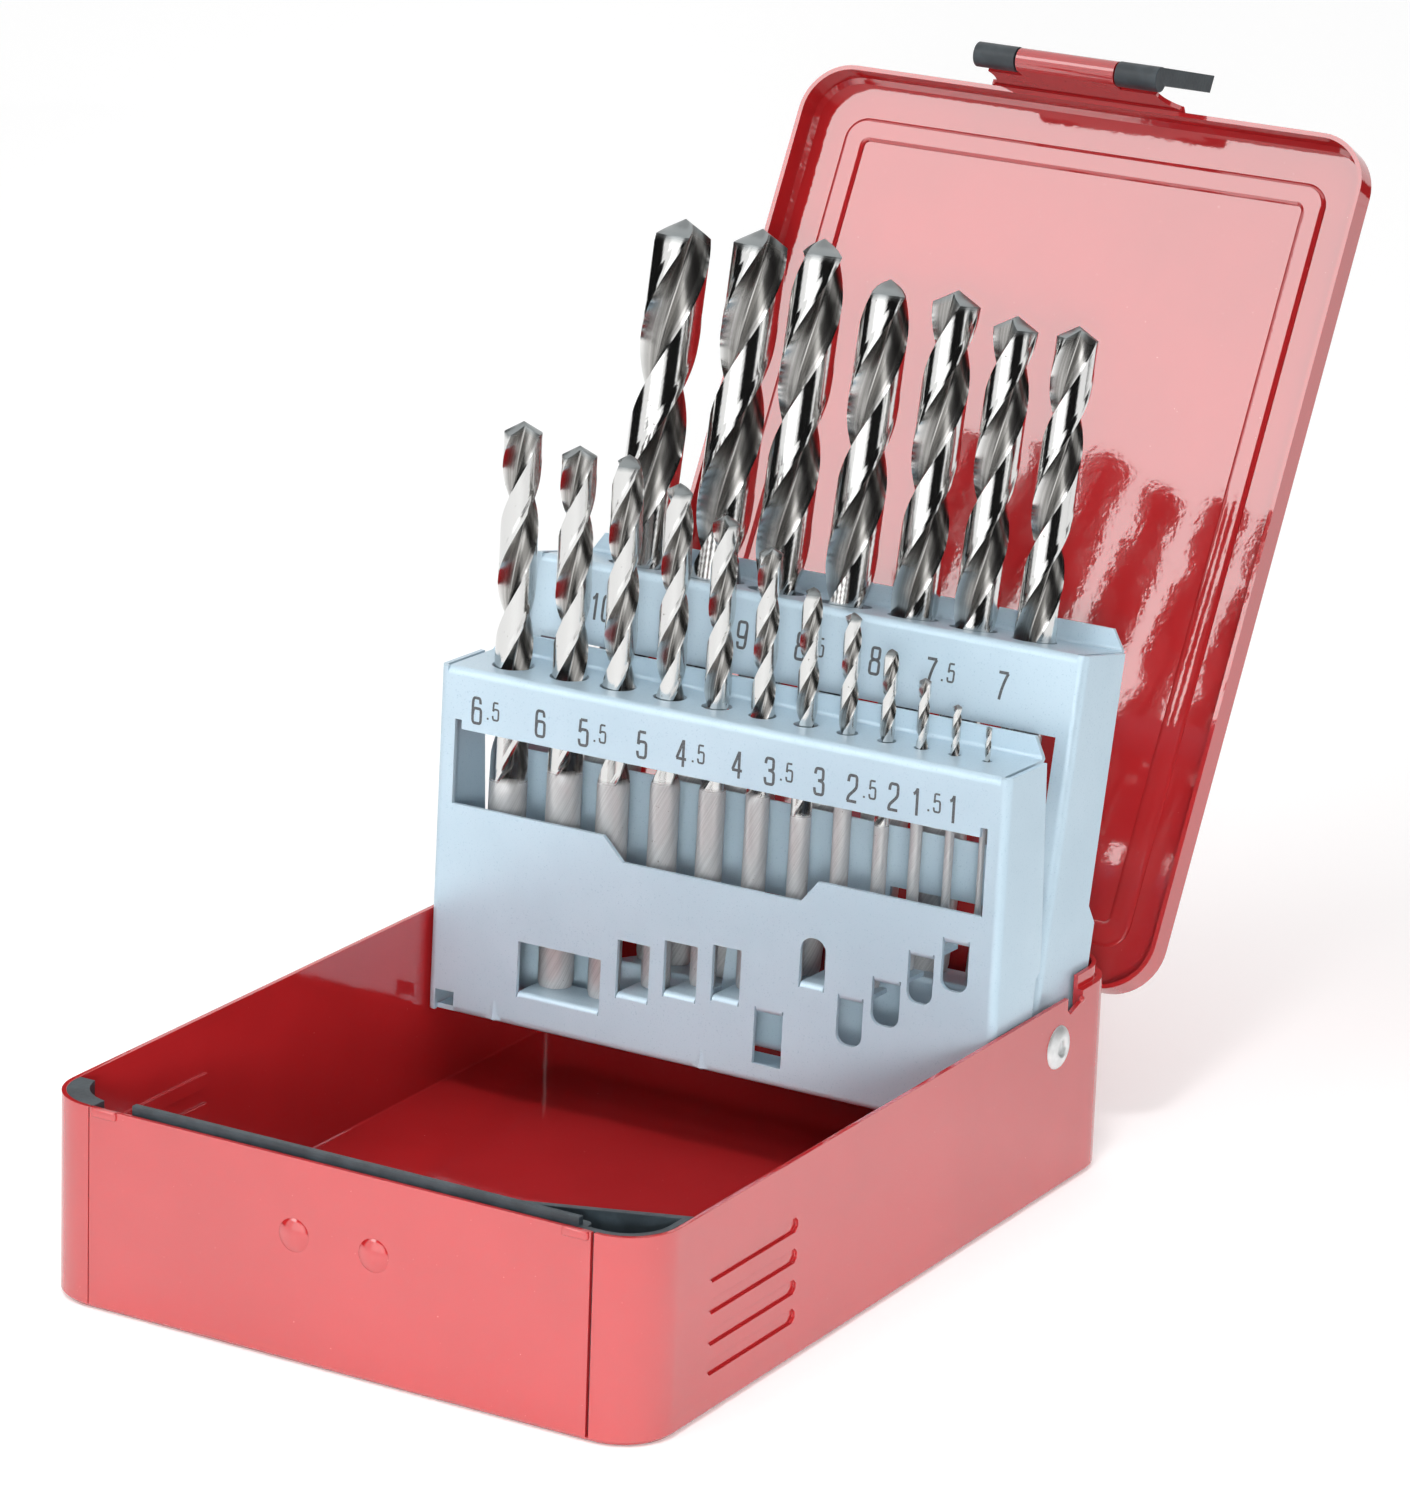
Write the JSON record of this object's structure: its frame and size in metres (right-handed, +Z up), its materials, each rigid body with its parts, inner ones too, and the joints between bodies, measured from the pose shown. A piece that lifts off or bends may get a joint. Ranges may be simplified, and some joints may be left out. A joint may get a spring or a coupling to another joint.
{
  "type": "drill bit case",
  "caption": "Red sheet-metal drill bit case: hinged lid with lever latch, swing-up racks and a graduated set of twist drills standing in stepped holders",
  "frame": {"origin": "centre of the base's underside, on the surface the case stands on", "axes": "+X to the right along the front, +Y from the latch side to the hinge, +Z up; stored with the lid open and both racks swung up"},
  "size_m": [0.112, 0.2472, 0.1687],
  "materials": {
    "red_paint": "glossy red enamel",
    "rack_paint": "pale blue-grey satin",
    "drill_steel": "bright ground steel",
    "rivet_steel": "bright steel",
    "black_plastic": "grained black plastic"
  },
  "bodies": {
    "base": {"base_shell": "red_paint", "base_hinge_leaf": "red_paint", "hinge_pin": "rivet_steel", "rack_rivets": "rivet_steel", "front_liner_bar": "black_plastic", "corner_liner_left": "black_plastic", "corner_liner_right": "black_plastic"},
    "lid": {"lid_shell": "red_paint", "lid_hinge_leaf": "red_paint"},
    "latch": {"latch_lever": "black_plastic"},
    "front_rack_body": {"front_rack": "rack_paint"},
    "rear_rack_body": {"rear_rack": "rack_paint"},
    "drill_6_5": {"drill_6_5": "drill_steel"},
    "drill_6_0": {"drill_6_0": "drill_steel"},
    "drill_5_5": {"drill_5_5": "drill_steel"},
    "drill_5_0": {"drill_5_0": "drill_steel"},
    "drill_4_5": {"drill_4_5": "drill_steel"},
    "drill_4_0": {"drill_4_0": "drill_steel"},
    "drill_3_5": {"drill_3_5": "drill_steel"},
    "drill_3_0": {"drill_3_0": "drill_steel"},
    "drill_2_5": {"drill_2_5": "drill_steel"},
    "drill_2_0": {"drill_2_0": "drill_steel"},
    "drill_1_5": {"drill_1_5": "drill_steel"},
    "drill_1_0": {"drill_1_0": "drill_steel"},
    "drill_10_0": {"drill_10_0": "drill_steel"},
    "drill_9_5": {"drill_9_5": "drill_steel"},
    "drill_9_0": {"drill_9_0": "drill_steel"},
    "drill_8_5": {"drill_8_5": "drill_steel"},
    "drill_8_0": {"drill_8_0": "drill_steel"},
    "drill_7_5": {"drill_7_5": "drill_steel"},
    "drill_7_0": {"drill_7_0": "drill_steel"}
  },
  "joints": [
    {"name": "lid_hinge", "type": "hinge", "parent": "base", "child": "lid", "pos_m": [0, 0.0779, 0.027], "axis": [-1, 0, 0], "range_deg": [-118.14, 0]},
    {"name": "latch_hinge", "type": "hinge", "parent": "lid", "child": "latch", "pos_m": [0, 0.14902, 0.16655], "axis": [1, 0, 0], "range_deg": [0, 100]},
    {"name": "front_rack_hinge", "type": "hinge", "parent": "base", "child": "front_rack_body", "pos_m": [0, 0.054, 0.0257], "axis": [-1, 0, 0], "range_deg": [-91.93, 0]},
    {"name": "rear_rack_hinge", "type": "hinge", "parent": "base", "child": "rear_rack_body", "pos_m": [0, 0.054, 0.0257], "axis": [-1, 0, 0], "range_deg": [-101.63, 0]},
    {"name": "drill_6_5_lift", "type": "slide", "parent": "front_rack_body", "child": "drill_6_5", "axis": [0, 0.0337, 0.9994], "range_m": [0, 0.0613]},
    {"name": "drill_6_0_lift", "type": "slide", "parent": "front_rack_body", "child": "drill_6_0", "axis": [0, 0.0337, 0.9994], "range_m": [0, 0.0557]},
    {"name": "drill_5_5_lift", "type": "slide", "parent": "front_rack_body", "child": "drill_5_5", "axis": [0, 0.0337, 0.9994], "range_m": [0, 0.0557]},
    {"name": "drill_5_0_lift", "type": "slide", "parent": "front_rack_body", "child": "drill_5_0", "axis": [0, 0.0337, 0.9994], "range_m": [0, 0.0519]},
    {"name": "drill_4_5_lift", "type": "slide", "parent": "front_rack_body", "child": "drill_4_5", "axis": [0, 0.0337, 0.9994], "range_m": [0, 0.0498]},
    {"name": "drill_4_0_lift", "type": "slide", "parent": "front_rack_body", "child": "drill_4_0", "axis": [0, 0.0337, 0.9994], "range_m": [0, 0.0486]},
    {"name": "drill_3_5_lift", "type": "slide", "parent": "front_rack_body", "child": "drill_3_5", "axis": [0, 0.0337, 0.9994], "range_m": [0, 0.049]},
    {"name": "drill_3_0_lift", "type": "slide", "parent": "front_rack_body", "child": "drill_3_0", "axis": [0, 0.0337, 0.9994], "range_m": [0, 0.0429]},
    {"name": "drill_2_5_lift", "type": "slide", "parent": "front_rack_body", "child": "drill_2_5", "axis": [0, 0.0337, 0.9994], "range_m": [0, 0.0437]},
    {"name": "drill_2_0_lift", "type": "slide", "parent": "front_rack_body", "child": "drill_2_0", "axis": [0, 0.0337, 0.9994], "range_m": [0, 0.0394]},
    {"name": "drill_1_5_lift", "type": "slide", "parent": "front_rack_body", "child": "drill_1_5", "axis": [0, 0.0337, 0.9994], "range_m": [0, 0.0337]},
    {"name": "drill_1_0_lift", "type": "slide", "parent": "front_rack_body", "child": "drill_1_0", "axis": [0, 0.0337, 0.9994], "range_m": [0, 0.0303]},
    {"name": "drill_10_0_lift", "type": "slide", "parent": "rear_rack_body", "child": "drill_10_0", "axis": [0, 0.2016, 0.9795], "range_m": [0, 0.076]},
    {"name": "drill_9_5_lift", "type": "slide", "parent": "rear_rack_body", "child": "drill_9_5", "axis": [0, 0.2016, 0.9795], "range_m": [0, 0.0676]},
    {"name": "drill_9_0_lift", "type": "slide", "parent": "rear_rack_body", "child": "drill_9_0", "axis": [0, 0.2016, 0.9795], "range_m": [0, 0.0676]},
    {"name": "drill_8_5_lift", "type": "slide", "parent": "rear_rack_body", "child": "drill_8_5", "axis": [0, 0.2016, 0.9795], "range_m": [0, 0.0645]},
    {"name": "drill_8_0_lift", "type": "slide", "parent": "rear_rack_body", "child": "drill_8_0", "axis": [0, 0.2016, 0.9795], "range_m": [0, 0.0645]},
    {"name": "drill_7_5_lift", "type": "slide", "parent": "rear_rack_body", "child": "drill_7_5", "axis": [0, 0.2016, 0.9795], "range_m": [0, 0.0591]},
    {"name": "drill_7_0_lift", "type": "slide", "parent": "rear_rack_body", "child": "drill_7_0", "axis": [0, 0.2016, 0.9795], "range_m": [0, 0.0591]}
  ],
  "couplings": [
    {"joint": "rear_rack_hinge", "follows": "lid_hinge", "ratio": 0.8602},
    {"joint": "front_rack_hinge", "follows": "lid_hinge", "ratio": 0.7781}
  ]
}
